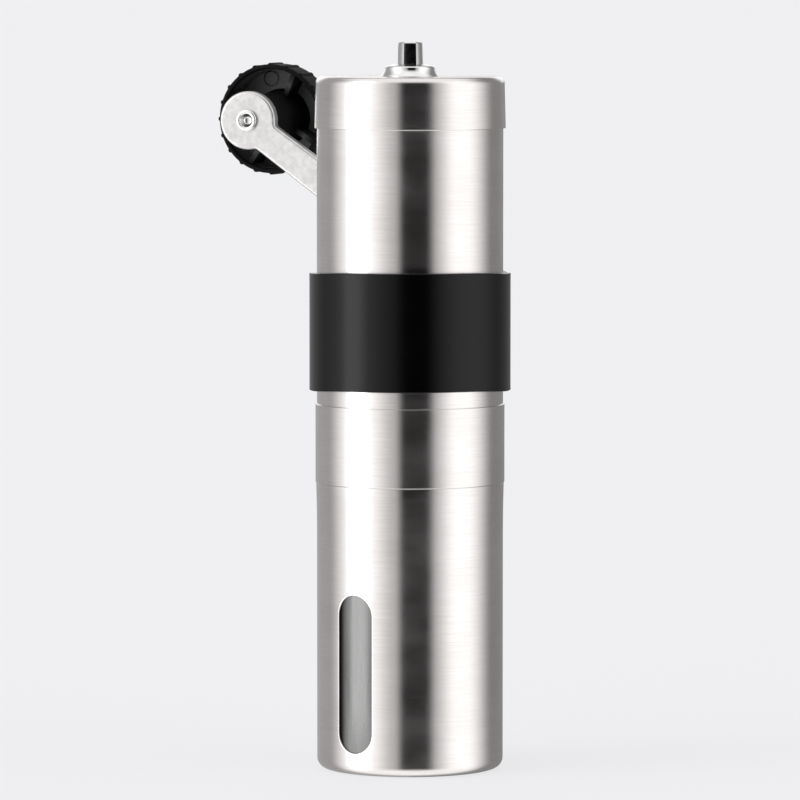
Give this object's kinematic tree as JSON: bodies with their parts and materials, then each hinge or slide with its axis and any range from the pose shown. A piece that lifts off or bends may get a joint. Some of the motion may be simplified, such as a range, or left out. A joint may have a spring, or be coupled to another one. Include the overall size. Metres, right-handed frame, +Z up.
{
  "type": "hand coffee grinder",
  "caption": "Slim steel hand coffee grinder with a windowed grounds chamber, ceramic burr mill, rubber grip band, lid and a crank stowed under the band.",
  "frame": {"origin": "centre of the base, on the floor, on the grinder's axis", "axes": "+Z up along the body and shaft, -Y is the front, the crank is stowed at the back (+Y) with its knob towards -X"},
  "size_m": [0.0821, 0.1216, 0.1983],
  "materials": {
    "brushed_body": "fine circumferential brushing",
    "polished_steel": "polished",
    "crank_steel": "tumbled satin",
    "rivet_steel": "satin",
    "washer_steel": "plain",
    "nut_brass": "turned",
    "grip_rubber": "matte silicone",
    "knob_plastic": "satin moulded",
    "black_plastic": "moulded",
    "white_plastic": "smooth",
    "clear_plastic": "clear",
    "burr_ceramic": "unglazed"
  },
  "bodies": {
    "chamber": {"chamber": "brushed_body", "window_pane": "clear_plastic"},
    "head": {"hopper_tube": "brushed_body", "mill_ring": "brushed_body", "burr_housing": "black_plastic", "housing_seal": "grip_rubber", "outer_burr": "burr_ceramic", "burr_retainer": "black_plastic", "shaft_bush": "white_plastic", "grip_band": "grip_rubber"},
    "lid": {"lid": "brushed_body", "lid_collar": "polished_steel", "lid_liner": "black_plastic", "lid_bush": "white_plastic"},
    "shaft": {"drive_shaft": "polished_steel", "shaft_clip": "washer_steel", "thrust_washer": "washer_steel", "burr_spring": "washer_steel"},
    "inner_burr": {"inner_burr": "burr_ceramic", "burr_carrier": "black_plastic", "spring_seat": "washer_steel"},
    "dial": {"adjust_dial": "black_plastic", "dial_nut": "nut_brass", "click_disc": "washer_steel"},
    "crank": {"crank_arm": "crank_steel", "crank_socket": "crank_steel", "knob_pin": "rivet_steel", "knob_washer": "washer_steel"},
    "knob": {"knob": "knob_plastic", "knob_cap": "knob_plastic"}
  },
  "joints": [
    {"name": "head_lift", "type": "slide", "parent": "chamber", "child": "head", "axis": [0, 0, 1], "range_m": [0, 0.05]},
    {"name": "lid_lift", "type": "slide", "parent": "head", "child": "lid", "axis": [0, 0, 1], "range_m": [0, 0.03]},
    {"name": "shaft_spin", "type": "hinge", "parent": "head", "child": "shaft", "pos_m": [0, 0, 0.09], "axis": [0, 0, 1], "continuous": true},
    {"name": "burr_adjust", "type": "slide", "parent": "shaft", "child": "inner_burr", "axis": [0, 0, 1], "range_m": [-0.0015, 0], "deforming": ["burr_spring"]},
    {"name": "dial_turn", "type": "hinge", "parent": "inner_burr", "child": "dial", "pos_m": [0, 0, 0.057], "axis": [0, 0, 1], "range_deg": [-540, 0]},
    {"name": "crank_pull", "type": "slide", "parent": "head", "child": "crank", "axis": [0, 0, 1], "range_m": [0, 0.03]},
    {"name": "knob_spin", "type": "hinge", "parent": "crank", "child": "knob", "pos_m": [-0.04531, 0.06156, 0.17532], "axis": [0.3338, 0.9426, 0], "continuous": true}
  ],
  "couplings": [
    {"joint": "dial_turn", "follows": "burr_adjust", "rad_per_m": 6283}
  ]
}
